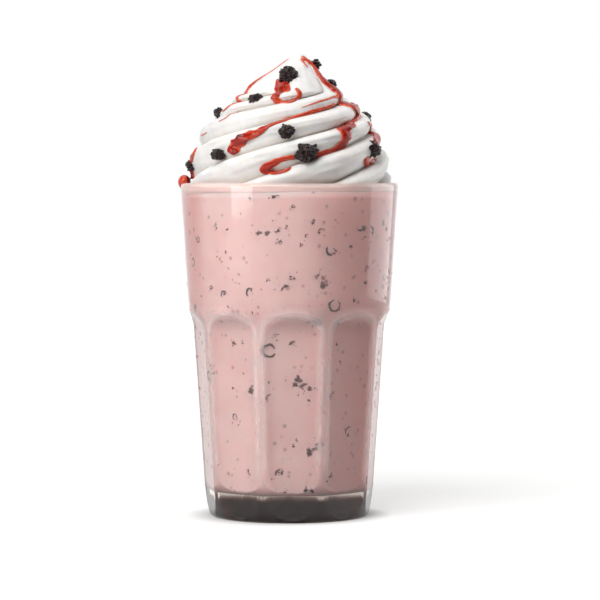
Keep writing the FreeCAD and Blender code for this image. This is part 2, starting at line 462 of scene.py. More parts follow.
# %% The panelled outside
blank_heights = [point[1] for point in blank_outline]
blank_radii = [point[0] for point in blank_outline]
edge_softness = 0.4
inner_softness = 0.9
rib_height = 0.3
rib_width = 1.5
rib_start = 2.0
rib_fade = 10.0
inner_rib = 0.4
steepest_roll = 0.83
least_slope = 0.05
beyond_the_glass = rim_radius * 2.0
roll_lean = math.atan(side_lean * panel_share)
roll_centre = (shoulder_radius * panel_share + arch_roll * math.cos(roll_lean),
               shoulder_foot - arch_roll * math.sin(roll_lean))


def panel_distance(height):
    """Distance from the axis to a panel's flat, which rolls outwards at its arched top."""
    climb = height - roll_centre[1]
    if height <= shoulder_foot:
        return side_radius(height) * panel_share
    if climb >= arch_roll:
        return beyond_the_glass
    return roll_centre[0] - math.sqrt(arch_roll ** 2 - climb ** 2)


def off_middle(azimuth):
    """Degrees from the middle of the nearest panel."""
    span = 360.0 / panel_count
    return (azimuth - panel_turn + span / 2.0) % span - span / 2.0


def flat_radius(height, azimuth, wall=0.0):
    """Distance from the axis to the nearest panel along this azimuth."""
    return (panel_distance(height) - wall) / math.cos(math.radians(off_middle(azimuth)))


def edge_nearness(blank, height, azimuth, wall=0.0):
    """One on the edge where a panel leaves the round blank, falling to zero beside it."""
    climb = min(steepest_roll * arch_roll, max(0.0, height - roll_centre[1]))
    slope = math.hypot(math.tan(math.radians(off_middle(azimuth))),
                       climb / math.sqrt(arch_roll ** 2 - climb ** 2))
    from_edge = (flat_radius(height, azimuth, wall) - blank) / max(least_slope, slope)
    foot_fade = min(1.0, max(0.0, (height - rib_start) / rib_fade))
    return math.exp(-(from_edge / rib_width) ** 2) * foot_fade


def panelled(blank, height, azimuth, wall=0.0, softness=edge_softness):
    """A round radius, softly cut by the panel that faces this azimuth, or by the panel's inside."""
    flat = flat_radius(height, azimuth, wall)
    share = min(1.0, max(0.0, 0.5 + 0.5 * (flat - blank) / softness))
    radius = flat + (blank - flat) * share - softness * share * (1.0 - share)
    return radius + (inner_rib if wall else rib_height) * edge_nearness(blank, height, azimuth, wall)


def inner_radius(height, azimuth):
    """Radius of the inside of the glass, whose panels follow those of the outside."""
    return panelled(bore_radius(height), height, azimuth, panel_wall, inner_softness)


print("panels", panel_count, "half of one spans", round(math.degrees(panel_half_angle), 1), "degrees")

# %% [markdown]
# ## The glass's skin
#
# The skin goes once round the section: out along the underside, up the outside, over the
# half-round lip, down the bore and in along the floor. It is closed, because a renderer bends
# light at each surface that it passes, and a wall without an inside would bend it only once.

# %% The glass tumbler
def refined(outline, step):
    """The outline with points added so that none is further than a step from the next."""
    points = [outline[0]]
    for start, end in zip(outline, outline[1:]):
        pieces = max(1, math.ceil(math.dist(start, end) / step))
        for index in range(1, pieces + 1):
            share = index / pieces
            points.append((start[0] + (end[0] - start[0]) * share, start[1] + (end[1] - start[1]) * share))
    return points


glass_columns = 405
outline_step = 1.4
underside_radii = (8.0, 20.0, 28.0)
floor_radii = (16.0, 6.0)
azimuths = [360.0 * column / glass_columns for column in range(glass_columns)]
rings = [level_ring(radius, 0.0, azimuths) for radius in underside_radii]
for radius, height in refined(blank_outline, outline_step):
    rings.append([around(panelled(radius, height, azimuth), azimuth, height) for azimuth in azimuths])
lip_steps = 12
for step in range(1, lip_steps):
    turn = math.pi * step / lip_steps
    radius = rim_radius - lip_radius + lip_radius * math.cos(turn)
    rings.append(level_ring(radius, lip_height + lip_radius * math.sin(turn), azimuths))
for radius, height in reversed(refined(bore_outline, outline_step)):
    on_the_wall = height > base_thickness
    rings.append([around(inner_radius(height, azimuth) if on_the_wall else radius, azimuth, height)
                  for azimuth in azimuths])
rings += [level_ring(radius, base_thickness, azimuths) for radius in floor_radii]
glass = make_piece("glass_tumbler", *skin_over(np.array(rings)), "glass", "glass")

# %% [markdown]
# Pressed soda-lime glass is clear, with a faint grey-brown cast that only shows where light
# passes through several centimetres of it, as in the base. So the tint isn't a colour on the
# surface but an absorption inside, and the thin wall stays clear. Its index of refraction is
# 1.52. The mould leaves very shallow waves, a few millimetres apart, that the flame doesn't
# quite remove. Lamps shine through it by way of a transparent stand-in, since a path tracer
# finds a lamp through bending glass only by luck.
#
# The cold drink leaves a thin, patchy mist on the outside, from over the foot to under the rim.
# It is a matt layer that covers two to four hundredths of the glass, and its white is warmed by
# the pink drink behind it.

# %% Pressed soda-lime glass
def pressed_glass():
    """Clear glass that bends light, absorbs a little, and wears a mist where it is cold, more on its ribs as
    a painted highlight.
    """
    material, output = new_material("pressed_soda_lime_glass")
    place = add_node(material, "ShaderNodeTexCoord")
    mould_waves = add_node(material, "ShaderNodeTexNoise", values={
        "Scale": per_metre(9.0), "Detail": 2.0, "Roughness": 0.4}, links={"Vector": place.outputs["Object"]})
    relief = add_node(material, "ShaderNodeBump", values={"Strength": 0.25, "Distance": 0.12 * MM},
                      links={"Height": mould_waves.outputs["Fac"]})
    clear = add_node(material, "ShaderNodeBsdfPrincipled", values={
        "Base Color": linear("#FBFCFB"), "Roughness": 0.07, "IOR": 1.52, "Transmission Weight": 1.0},
        links={"Normal": relief.outputs["Normal"]})
    to_lamps = add_node(material, "ShaderNodeBsdfTransparent", values={"Color": linear("#F7F8F7")})
    path = add_node(material, "ShaderNodeLightPath")
    either = add_node(material, "ShaderNodeMixShader", links={
        0: path.outputs["Is Shadow Ray"], 1: clear.outputs[0], 2: to_lamps.outputs[0]})
    mist_and_painted_highlight = add_node(material, "ShaderNodeAttribute", attribute_name="mist_and_painted_highlight")
    patches = add_node(material, "ShaderNodeTexNoise", values={
        "Scale": per_metre(14.0), "Detail": 6.0, "Roughness": 0.7}, links={"Vector": place.outputs["Object"]})
    thickness = add_node(material, "ShaderNodeMapRange", values={
        "From Min": 0.3, "From Max": 0.7, "To Min": 0.021, "To Max": 0.038},
        links={"Value": patches.outputs["Fac"]})
    veil = add_node(material, "ShaderNodeMath", operation="MULTIPLY", links={
        0: thickness.outputs["Result"], 1: mist_and_painted_highlight.outputs["Fac"]})
    mist = add_node(material, "ShaderNodeBsdfDiffuse", values={"Color": linear("#FBEAE7")})
    fogged = add_node(material, "ShaderNodeMixShader", links={
        0: veil.outputs[0], 1: either.outputs[0], 2: mist.outputs[0]})
    cast = add_node(material, "ShaderNodeVolumeAbsorption", values={
        "Color": linear("#C9BDB6"), "Density": 38.0})
    material.node_tree.links.new(cast.outputs[0], output.inputs["Volume"])
    return finish_material(material, output, fogged.outputs[0])


glass.data.materials.append(pressed_glass())

# %% [markdown]
# How much mist the outside holds is worked out for each point of the mesh and kept there, because
# it follows the shape: none at the foot, and less just under the rim, where only cream stands
# against the wall. The ribs take up to twelve times as much of this pale matt layer, a painted
# highlight that makes them show as soft light lines.

# %% Where the glass is misted, with a painted highlight on its ribs
mist_heights = (14.0, 24.0, 126.0, 133.0)
mist_shares = (0.0, 1.0, 1.0, 0.3)
outer_layer = 2.2
# Painted highlight: the ribs get up to twelve times as much of the pale matt layer, so they show as light
# lines.
rib_painted_highlight = 11.0
mist_and_painted_highlight_share = []
for vertex in glass.data.vertices:
    x, y, z = vertex.co / MM
    blank = float(np.interp(z, blank_heights, blank_radii))
    outside = math.hypot(x, y) > blank - outer_layer
    cold = float(np.interp(z, mist_heights, mist_shares)) if outside else 0.0
    azimuth = math.degrees(math.atan2(x, -y))
    mist_and_painted_highlight_share.append(cold * (1.0 + rib_painted_highlight * edge_nearness(blank, z, azimuth)))
mist_and_painted_highlight = glass.data.attributes.new("mist_and_painted_highlight", "FLOAT", "POINT")
mist_and_painted_highlight.data.foreach_set("value", np.array(mist_and_painted_highlight_share, np.float32))
print("chill from", round(min(mist_and_painted_highlight_share), 2), "to", round(max(mist_and_painted_highlight_share), 2))

# %% [markdown]
# The base is the thickest part of the glass, so the little iron that all such glass holds tints
# it the most. Seen edge-on, through six centimetres of it, it is a dark grey-brown. The tint of
# the base is a body of its own inside the glass, which bends no light and only absorbs. It stops
# under the floor, because the clear glass over it draws the bright line on top of the base.

# %% The tint of the thick base
base_skin = 0.7
clear_layer = 3.0
base_columns = 180
base_rows = 8
base_radii = (8.0, 24.0)
tint_top = base_thickness - clear_layer
base_azimuths = [360.0 * column / base_columns for column in range(base_columns)]
rings = [level_ring(radius, base_skin, base_azimuths) for radius in base_radii]
for height in np.linspace(base_skin, tint_top, base_rows):
    blank = float(np.interp(height, blank_heights, blank_radii)) - base_skin
    rings.append([around(panelled(blank, height, azimuth, base_skin), azimuth, height)
                  for azimuth in base_azimuths])
rings += [level_ring(radius, tint_top, base_azimuths) for radius in reversed(base_radii)]
base_tint = make_piece("glass_base_tint", *skin_over(np.array(rings)), "glass")


def iron_tint():
    """Nothing on the surface, and an absorption inside that leaves brown."""
    material, output = new_material("iron_tint_of_thick_glass")
    through = add_node(material, "ShaderNodeBsdfTransparent", values={"Color": linear("#FFFFFF")})
    cast = add_node(material, "ShaderNodeVolumeAbsorption", values={
        "Color": linear("#955C30"), "Density": 84.0})
    material.node_tree.links.new(cast.outputs[0], output.inputs["Volume"])
    return finish_material(material, output, through.outputs[0])


base_tint.data.materials.append(iron_tint())

# %% [markdown]
# ## The milkshake
#
# The drink wets the glass, so no air lies between them. Its skin is a little larger than the
# bore and ends inside the wall: light then goes from glass straight into milkshake. Its top edge
# isn't quite level, because the cream on it presses it down unevenly.

# %% The milkshake
milk_reach = 0.3
# Height in millimetres, number in a turn and start in radians of the waves in the top edge.
meeting_waves = ((0.35, 1.0, 0.0), (0.22, 3.0, 1.1), (0.12, 7.0, 0.0))


def meeting_height(azimuth):
    """Height of the line where milkshake and cream meet at the glass."""
    angle = math.radians(azimuth)
    return milk_level + sum(size * math.sin(number * angle + start) for size, number, start in meeting_waves)


milk_columns = 360
milk_step = 1.6
clear_of_top = 2.0
top_dip = 0.6
top_radii = (36.0, 20.0, 6.0)
milk_azimuths = [360.0 * column / milk_columns for column in range(milk_columns)]
wall_outline = [(r, z) for r, z in refined(bore_outline, milk_step) if z < milk_level - clear_of_top]
rings = [level_ring(radius, base_thickness - milk_reach, milk_azimuths) for radius in reversed(floor_radii)]
for radius, height in wall_outline:
    drop = milk_reach * max(0.0, 1.0 - (height - base_thickness) / floor_corner)
    on_the_wall = height > base_thickness
    rings.append([around((inner_radius(height, azimuth) if on_the_wall else radius) + milk_reach,
                         azimuth, height - drop) for azimuth in milk_azimuths])
rings.append([around(bore_radius(milk_level) + milk_reach, azimuth, meeting_height(azimuth))
              for azimuth in milk_azimuths])
rings += [level_ring(radius, milk_level - top_dip, milk_azimuths) for radius in top_radii]
milkshake = make_piece("milkshake_body", *skin_over(np.array(rings)), "milkshake", "milkshake")

# %% [markdown]
# Blended milk, ice cream and fruit scatter light as milk does, so the drink is opaque and soft,
# without a hard line between light and shade. The purple of blackcurrants turns dusty pink in
# milk. It is never quite even: pulp makes cloudy patches some 15 mm across. A darker, redder pink
# on the right side and in a narrow strip at the left edge is painted shade. Skin ground fine by
# the blades makes specks of about half a millimetre, which show grey-mauve through a film of milk.
# Larger bits of skin get meshes of their own below.

# %% Milk, ice cream and blackcurrant pulp
def blended_milkshake():
    """Soft pink, clouded and specked, with painted shade at two sides and light that spreads five millimetres
    under its skin.
    """
    material, output = new_material("blended_blackcurrant_milk")
    place = add_node(material, "ShaderNodeTexCoord")
    clouds = add_node(material, "ShaderNodeTexNoise", values={
        "Scale": per_metre(15.0), "Detail": 3.0, "Roughness": 0.55},
        links={"Vector": place.outputs["Object"]})
    pink = add_node(material, "ShaderNodeValToRGB", links={"Fac": clouds.outputs["Fac"]}, stops=[
        (0.3, "#DCB7B5"), (0.7, "#E4C4C2")])
    # Painted shade: a darker, redder pink on the right side and in a narrow strip at the left edge.
    axes = add_node(material, "ShaderNodeSeparateXYZ", links={0: place.outputs["Object"]})
    painted_shade_right = add_node(material, "ShaderNodeMapRange", values={
        "From Min": 4.0 * MM, "From Max": 33.0 * MM, "To Min": 0.0, "To Max": 0.85},
        links={"Value": axes.outputs["X"]})
    painted_shade_left_edge = add_node(material, "ShaderNodeMapRange", values={
        "From Min": -32.5 * MM, "From Max": -37.0 * MM, "To Min": 0.0, "To Max": 0.75},
        links={"Value": axes.outputs["X"]})
    painted_shade_share = add_node(material, "ShaderNodeMath", operation="MAXIMUM", links={
        0: painted_shade_right.outputs["Result"], 1: painted_shade_left_edge.outputs["Result"]})
    shaded_pink = add_node(material, "ShaderNodeMix", data_type="RGBA", values={7: linear("#CF8E8A")},
                      links={0: painted_shade_share.outputs[0], 6: pink.outputs["Color"]})
    specks = add_node(material, "ShaderNodeTexVoronoi", values={
        "Scale": per_metre(3.4), "Randomness": 1.0}, links={"Vector": place.outputs["Object"]})
    speck_sizes = add_node(material, "ShaderNodeTexNoise", values={
        "Scale": per_metre(5.0), "Detail": 1.0}, links={"Vector": place.outputs["Object"]})
    speck_edge = add_node(material, "ShaderNodeMapRange", values={
        "From Min": 0.42, "From Max": 0.66, "To Min": 0.0, "To Max": 0.3},
        links={"Value": speck_sizes.outputs["Fac"]})
    inside = add_node(material, "ShaderNodeMath", operation="SUBTRACT", links={
        0: speck_edge.outputs["Result"], 1: specks.outputs["Distance"]})
    speck_depth = add_node(material, "ShaderNodeMapRange", values={
        "From Min": -0.06, "From Max": 0.12, "To Min": 0.0, "To Max": 0.6},
        links={"Value": inside.outputs[0]})
    speckled = add_node(material, "ShaderNodeMix", data_type="RGBA", values={7: linear("#8B6A70")},
                        links={0: speck_depth.outputs["Result"], 6: shaded_pink.outputs[2]})
    body = add_node(material, "ShaderNodeBsdfPrincipled", values={
        "Roughness": 0.5, "IOR": 1.35, "Specular IOR Level": 0.15, "Subsurface Weight": 0.7,
        "Subsurface Scale": 5.0 * MM, "Subsurface Radius": (1.0, 0.25, 0.22)},
        links={"Base Color": speckled.outputs[2]})
    return finish_material(material, output, body.outputs[0])


milkshake.data.materials.append(blended_milkshake())

# %% [markdown]
# ## Crushed blackcurrant skins
#
# The blender tears the berries' skins into curls, rings and crumpled flakes, and those that float
# against the glass show as dark marks. A texture would lie flat, so each is a small solid,
# pressed against the inside of the wall and half sunk in the milkshake. A mark is seldom one
# scrap: a few lie together, with crumbs around them. The marks that show best are listed one by
# one, and the rest are scattered with a fixed seed. How far each point stands out of the milk
# is kept on the mesh, because its colour depends on that.

# %% One scrap of skin
strip_step = 18.0
least_strip_rings = 6
strip_points = 8
strip_end = 0.4
strip_roughness = 0.5
strip_wander = 0.14


def curled_skin(size, sweep, width, thickness, turn):
    """A strip of skin curled into an arc or a ring, flat on the XY plane, size mm across."""
    count = max(least_strip_rings, int(sweep / strip_step))
    curl = size / 2.0 - width / 2.0
    rings = []
    for index in range(count + 1):
        share = index / count
        angle = math.radians(turn + sweep * share)
        rough = noise.noise(Vector((math.cos(angle) * 2.0, math.sin(angle) * 2.0, size * 3.1 + turn)))
        swell = math.sin(math.pi * (0.05 + 0.9 * share))
        taper = (strip_end + (1.0 - strip_end) * swell) * (1.0 + strip_roughness * rough)
        reach = curl * (1.0 + strip_wander * rough)
        ring = []
        for corner in range(strip_points):
            lap = 2.0 * math.pi * corner / strip_points
            out = reach + width / 2.0 * taper * math.cos(lap)
            ring.append((out * math.cos(angle), out * math.sin(angle), thickness * math.sin(lap)))
        rings.append(ring)
    return skin_over(np.array(rings))


flake_points = 13
flake_raggedness = 0.8
flake_creasing = 0.5
# How high each ring of a flake lies, in its thickness, and how far it spreads, in its size.
flake_rings = ((-1.0, 0.3), (-0.5, 0.8), (0.0, 1.0), (0.45, 0.85), (0.8, 0.55), (1.0, 0.2))


def torn_flake(size, thickness, turn, long_share, seed):
    """A crumpled flake, longer than wide, with a ragged edge and a creased face."""
    spin = math.radians(turn)
    rings = []
    for level, spread in flake_rings:
        ring = []
        for index in range(flake_points):
            angle = 2.0 * math.pi * index / flake_points
            ragged = noise.noise(Vector((math.cos(angle) * 1.9, math.sin(angle) * 1.9, seed)))
            edge = 0.5 * size * spread * (1.0 + flake_raggedness * ragged)
            folded = noise.noise(Vector((math.cos(angle) * 2.5 * spread, seed, spread * 2.0)))
            crease = 1.0 + flake_creasing * folded
            x, y = edge * math.cos(angle), edge * long_share * math.sin(angle)
            ring.append((x * math.cos(spin) - y * math.sin(spin), x * math.sin(spin) + y * math.cos(spin),
                         level * thickness * crease))
        rings.append(ring)
    return skin_over(np.array(rings))


over_floor = 0.5
under_cream = 1.0


def against_glass(scrap, azimuth, height, sunk):
    """A flat scrap wrapped on the inside of the glass, and how far its points stand out."""
    vertices, faces = scrap
    wrapped = []
    for x, y, z in vertices:
        level = min(max(height + y, base_thickness + over_floor), milk_level - under_cream)
        turned = azimuth + math.degrees(x / bore_radius(level))
        wrapped.append(around(inner_radius(level, turned) + milk_reach + z - sunk, turned, level))
    return wrapped, faces, [z - sunk for _, _, z in vertices]


print("a flake has", len(flake_rings) * flake_points + 2, "points")

# %% [markdown]
# A mark is built up as the blender leaves it. A ring is a whole slice of skin, a curl is a torn
# one with a flake in it, and a heap is up to three flakes that lie along each other. Around each
# lie crumbs, more of them the larger it is, and most of them near. How deep each scrap sinks in
# is drawn too, because no two stand out of the milk by as much.

# %% Marks: a few scraps with crumbs around them
ring_sweeps = (300.0, 345.0)
curl_sweeps = (110.0, 200.0)
strip_share = 0.2
least_strip_width = 0.5
strip_thickness = 0.34
flake_thickness = 0.36
crumb_thickness = 0.26
crumb_sizes = (0.35, 0.9)
crumb_long_share = 0.7
crumbs_per_mm = 1.2
crumb_spread = 0.6
heap_from_size = 2.0


def skin_mark(azimuth, height, size, turn, kind, rng):
    """The scraps of one mark: a ring, a curl or a heap of flakes, and its crumbs."""
    scraps = []
    if kind in ("ring", "curl"):
        sweep = rng.uniform(*ring_sweeps) if kind == "ring" else rng.uniform(*curl_sweeps)
        width = max(least_strip_width, size * strip_share)
        strip = curled_skin(size, sweep, width, strip_thickness, turn)
        scraps.append(against_glass(strip, azimuth, height, rng.uniform(0.0, 0.12)))
        heap = 0 if kind == "ring" else 1
    else:
        heap = 3 if size > heap_from_size else 1
    spread = 0.32 * size if heap > 1 else 0.5 * size
    slope = math.radians(turn)
    for _ in range(heap):
        piece = size * rng.uniform(0.4, 0.75) if heap > 1 else size * (0.4 if scraps else 1.0)
        along = rng.gauss(0.0, spread) if heap > 1 or scraps else 0.0
        across = rng.gauss(0.0, spread * 0.4) if heap > 1 or scraps else 0.0
        x = along * math.cos(slope) - across * math.sin(slope)
        y = along * math.sin(slope) + across * math.cos(slope)
        flake = torn_flake(piece, flake_thickness, turn + rng.gauss(0.0, 35.0), rng.uniform(0.35, 0.75),
                           rng.uniform(0.0, 40.0))
        scraps.append(against_glass(flake, azimuth + math.degrees(x / bore_rim), height + y,
                                    rng.uniform(0.0, 0.16)))
    for _ in range(int(size * crumbs_per_mm)):
        crumb = torn_flake(rng.uniform(*crumb_sizes), crumb_thickness, rng.uniform(0.0, 360.0),
                           crumb_long_share, rng.uniform(0.0, 40.0))
        aside = math.degrees(rng.gauss(0.0, size * crumb_spread) / bore_rim)
        scraps.append(against_glass(crumb, azimuth + aside, height + rng.gauss(0.0, size * crumb_spread),
                                    rng.uniform(0.02, 0.14)))
    return scraps


print("crumbs are", crumb_sizes[0], "to", crumb_sizes[1], "mm across")

# %% [markdown]
# The marks that show best are kept as a list. Those scattered between them are
# mostly small, because the blades leave few large bits: raising an even draw to its third power
# gives that. In front they are smaller still, so that they don't crowd the marks in the list.

# %% The marks placed by hand, and the scattered ones
# Azimuth, height, size, turn and kind of each mark in the list.
shown_marks = [
    (-13.0, 69.0, 6.0, 20.0, "ring"), (27.0, 87.0, 5.6, 100.0, "ring"), (3.5, 56.0, 7.0, 10.0, "flake"),
    (10.0, 54.0, 4.4, -5.0, "flake"), (-26.0, 53.5, 4.4, 10.0, "flake"), (-13.0, 50.0, 3.8, 80.0, "curl"),
    (29.0, 50.5, 3.6, 60.0, "curl"), (1.5, 72.0, 3.4, 0.0, "flake"), (-22.0, 92.0, 4.6, 70.0, "curl"),
    (-40.0, 91.0, 3.6, 40.0, "curl"), (-3.5, 94.0, 3.6, 20.0, "flake"), (1.0, 98.0, 2.6, 0.0, "flake"),
    (19.0, 95.0, 4.4, 5.0, "flake"), (24.0, 109.0, 5.2, 150.0, "curl"), (50.0, 116.0, 5.2, -30.0, "curl"),
    (43.0, 117.0, 4.4, 20.0, "flake"), (-9.0, 130.0, 3.4, 0.0, "flake"), (-8.0, 116.0, 3.0, 10.0, "flake"),
    (18.0, 116.0, 3.4, 30.0, "curl"), (13.0, 120.0, 3.0, 60.0, "flake"), (-44.0, 118.0, 2.6, 90.0, "flake"),
    (-17.0, 116.0, 5.0, 0.0, "flake"), (50.0, 101.0, 3.4, 80.0, "curl"), (13.0, 80.0, 6.4, 5.0, "flake"),
    (-40.0, 71.0, 2.6, 30.0, "flake"), (-40.0, 42.0, 3.4, 70.0, "curl"), (4.0, 32.0, 2.8, 60.0, "flake"),
    (16.0, 29.0, 5.2, -20.0, "flake"), (21.0, 30.5, 4.0, 25.0, "curl"), (-30.0, 21.0, 2.8, 85.0, "flake"),
    (-7.0, 20.0, 4.0, 80.0, "curl"), (-6.0, 12.5, 4.2, 0.0, "flake"), (15.0, 12.5, 5.2, 0.0, "flake"),
    (46.0, 36.0, 4.6, 75.0, "curl"), (30.0, 19.0, 2.8, 40.0, "flake"), (-7.5, 74.5, 2.6, 50.0, "curl"),
]
mark_rng = random.Random(7)
scraps = []
for azimuth, height, size, turn, kind in shown_marks:
    scraps += skin_mark(azimuth, height, size, turn, kind, mark_rng)
scattered_marks = 420
scatter_heights = (13.0, 130.0)
smallest_mark = 0.45
mark_growth = 3.6
front_half_angle = 60.0
front_share = 0.55
curls_from_size = 1.4
for _ in range(scattered_marks):
    azimuth = mark_rng.uniform(-180.0, 180.0)
    height = mark_rng.uniform(*scatter_heights)
    size = smallest_mark + mark_growth * mark_rng.random() ** 3.0
    if abs(azimuth) < front_half_angle:
        size *= front_share
    kind = mark_rng.choice(("flake", "flake", "curl", "ring")) if size > curls_from_size else "flake"
    scraps += skin_mark(azimuth, height, size, mark_rng.uniform(0.0, 360.0), kind, mark_rng)
skins = make_piece("crushed_skins", *joined([scrap[:2] for scrap in scraps]), "fruit_skins")
bare_skin = skins.data.attributes.new("bare_skin", "FLOAT", "POINT")
bare_skin.data.foreach_set("value", np.array([out for scrap in scraps for out in scrap[2]], np.float32))
print(len(shown_marks), "marks by hand and", scattered_marks, "scattered,", len(scraps), "scraps in all")

# %% [markdown]
# Blackcurrant skin is nearly black, with a purple cast. A film of milk lies over it, thick at
# the edges where the scrap sinks in and thin where it touches the glass. So its colour goes from
# the milkshake's own through grey-mauve to black with how far a point stands out, and a fine
# noise breaks the rim of that up.

# %% Blackcurrant skin under a film of milk
def milky_skin():
    """Dull near-black skin that turns mauve, then pink, where the film of milk thickens."""
    material, output = new_material("blackcurrant_skin_in_milk")
    place = add_node(material, "ShaderNodeTexCoord")
    standing_out = add_node(material, "ShaderNodeAttribute", attribute_name="bare_skin")
    film = add_node(material, "ShaderNodeTexNoise", values={
        "Scale": per_metre(1.2), "Detail": 3.0}, links={"Vector": place.outputs["Object"]})
    bare = add_node(material, "ShaderNodeMapRange", values={"From Min": 0.0, "From Max": 0.3},
                    links={"Value": standing_out.outputs["Fac"]})
    uneven = add_node(material, "ShaderNodeMapRange", values={
        "From Min": 0.3, "From Max": 0.7, "To Min": -0.3, "To Max": 0.3},
        links={"Value": film.outputs["Fac"]})
    share = add_node(material, "ShaderNodeMath", operation="ADD", links={
        0: bare.outputs["Result"], 1: uneven.outputs["Result"]})
    colour = add_node(material, "ShaderNodeValToRGB", links={"Fac": share.outputs[0]}, stops=[
        (0.0, "#D0A5A1"), (0.3, "#A98284"), (0.6, "#76534F"), (0.95, "#40282A")])
    skin = add_node(material, "ShaderNodeBsdfPrincipled", values={
        "Roughness": 0.6, "Specular IOR Level": 0.1}, links={"Base Color": colour.outputs["Color"]})
    return finish_material(material, output, skin.outputs[0])


skins.data.materials.append(milky_skin())

# %% [markdown]
# ## Whipped cream
#
# The cream is squeezed through a star nozzle while the hand turns three quarters round, so six
# folds climb the dome side by side and close at the tip. Each fold has a sharp ledge on its upper
# side, where it left the nozzle's tooth, and slopes softly down to the next one. Sculpting could
# make that, but a formula keeps it even with the construction: a dome, turned folds, and a fold's
# own section. Uneven widths and a slow noise then take the stiffness out of it. The nozzle also
# drags two fine grooves along every fold, which come and go with a quicker noise.

# %% The dome and its folds
dome_fullness = 1.9
dome_roundness = 0.72
dome_radius_at_rim = bore_rim - 0.3
tip_radius = 1.6
tip_lean = 4.3
cone_spread = 1.51
cone_softness = 2.5
twist_rate = 230.0
twist_gain = 330.0
twist_end = 0.7
fold_start = 29.0
fold_spans = (49.0, 56.0, 76.0, 65.0, 56.0, 58.0)
fold_depth = 4.0
fold_share = 0.2
groove_depth = 0.55
groove_places = (0.36, 0.66)
groove_widths = (0.055, 0.07)
slow_size = 17.0
quick_size = 6.5
quick_start = Vector((5.0, 2.0, 9.0))
quiet_top = 0.62
quiet_span = 0.2
quiet_share = 0.75
smooth_foot = 0.04
smooth_tip = 12.0
groove_tip = 16.0


def dome_radius(rise):
    """Radius over the folds' crests: the smaller of a full dome and of a cone."""
    swell = max(0.0, 1.0 - max(0.0, rise) ** dome_fullness) ** dome_roundness
    dome = tip_radius + (dome_radius_at_rim - tip_radius) * swell
    cone = tip_radius + cone_spread * dome_radius_at_rim * max(0.0, 1.0 - rise)
    share = min(1.0, max(0.0, 0.5 + 0.5 * (cone - dome) / cone_softness))
    return cone + (dome - cone) * share - cone_softness * share * (1.0 - share)


def dome_twist(rise):
    """Degrees by which the folds have turned at a share of the rise."""
    turning = min(rise, twist_end)
    return twist_rate * turning + twist_gain * turning ** 3


def fold_shape(step):
    """A fold's section, from the ledge at 0 to the foot of its slope at 1."""
    step = min(1.0, max(0.0, step))
    return max(0.0, math.sin(math.pi * math.sqrt(step))) ** 0.6


def cream_point(azimuth, rise, step=None):
    """A point of the cream's surface. The step in its fold is worked out unless it is given."""
    if step is None:
        off_start = (azimuth - fold_start - dome_twist(rise)) % 360.0
        for span in fold_spans:
            if off_start < span:
                break
            off_start -= span
        step = off_start / span
    crest = dome_radius(rise)
    x, y, z = around(crest, azimuth, glass_height + cream_rise * rise)
    slow = noise.noise(Vector((x, y, z * 1.4)) / slow_size)
    quick = noise.noise(Vector((x, y, z)) / quick_size + quick_start)
    top_fade = 1.0 - quiet_share * min(1.0, max(0.0, (rise - quiet_top) / quiet_span))
    dip = min(fold_depth, fold_share * crest) * (1.45 + 0.8 * slow) * top_fade
    fade = min(1.0, max(0.0, rise) / smooth_foot)
    uneven = (1.5 * slow + 0.6 * quick) * min(1.0, crest / smooth_tip)
    upper_groove = math.exp(-((step - groove_places[0] - 0.1 * slow) / groove_widths[0]) ** 2)
    lower_groove = math.exp(-((step - groove_places[1] + 0.12 * quick) / groove_widths[1]) ** 2)
    groove = upper_groove + lower_groove
    scored = groove_depth * groove * min(1.0, crest / groove_tip) * max(0.0, 0.6 + 1.6 * quick)
    radius = crest - dip * (1.0 - fold_shape(step)) + fade * (uneven - scored)
    radius = max(0.15 * tip_radius, radius)
    x, y, z = around(radius, azimuth, z)
    return (x + tip_lean * max(0.0, rise) ** 3, y, z)


print("dome half way up", round(dome_radius(0.5), 1), "turned", round(dome_twist(1.0)), "degrees at the tip")

# %% [markdown]
# The rings of the cream follow its folds: every column of points keeps its place in its fold and
# turns with it, so that the sharp ledges lie along edges of the mesh and never cut across a face.
# The columns crowd at the ledge and are wide apart on the slope. Under the rim the cream fills
# the glass and reaches a little into its wall, as the drink does.

# %% The whipped cream
cream_reach = 0.2
under_meeting = 1.0
hidden_radii = (10.0, 25.0, 38.0)
fold_steps = [0.0, 0.006, 0.02, 0.045, 0.08, 0.12, 0.17, 0.23, 0.3, 0.37, 0.44, 0.51, 0.58, 0.65, 0.72, 0.79,
              0.86, 0.92, 0.97]
columns = []
fold_place = 0.0
for span in fold_spans:
    columns += [(fold_place + span * step, step) for step in fold_steps]
    fold_place += span
cream_azimuths = [fold_start + place for place, _ in columns]
cream_foot = milk_level - under_meeting
wall_radius = bore_radius(milk_level) + cream_reach
rings = [level_ring(radius, cream_foot, cream_azimuths) for radius in (*hidden_radii, wall_radius)]
wall_rows = 3
for height in np.linspace(milk_level + under_meeting, lip_height, wall_rows):
    rings.append(level_ring(bore_radius(height) + cream_reach, height, cream_azimuths))
dome_rows = 130
for row in range(dome_rows):
    rise = math.sin(math.radians(90.0 * row / (dome_rows - 1)))
    twist = fold_start + dome_twist(rise)
    rings.append([cream_point(twist + place, rise, step) for place, step in columns])
cream = make_piece("whipped_cream_swirl", *skin_over(np.array(rings)), "whipped_cream", "whipped_cream")
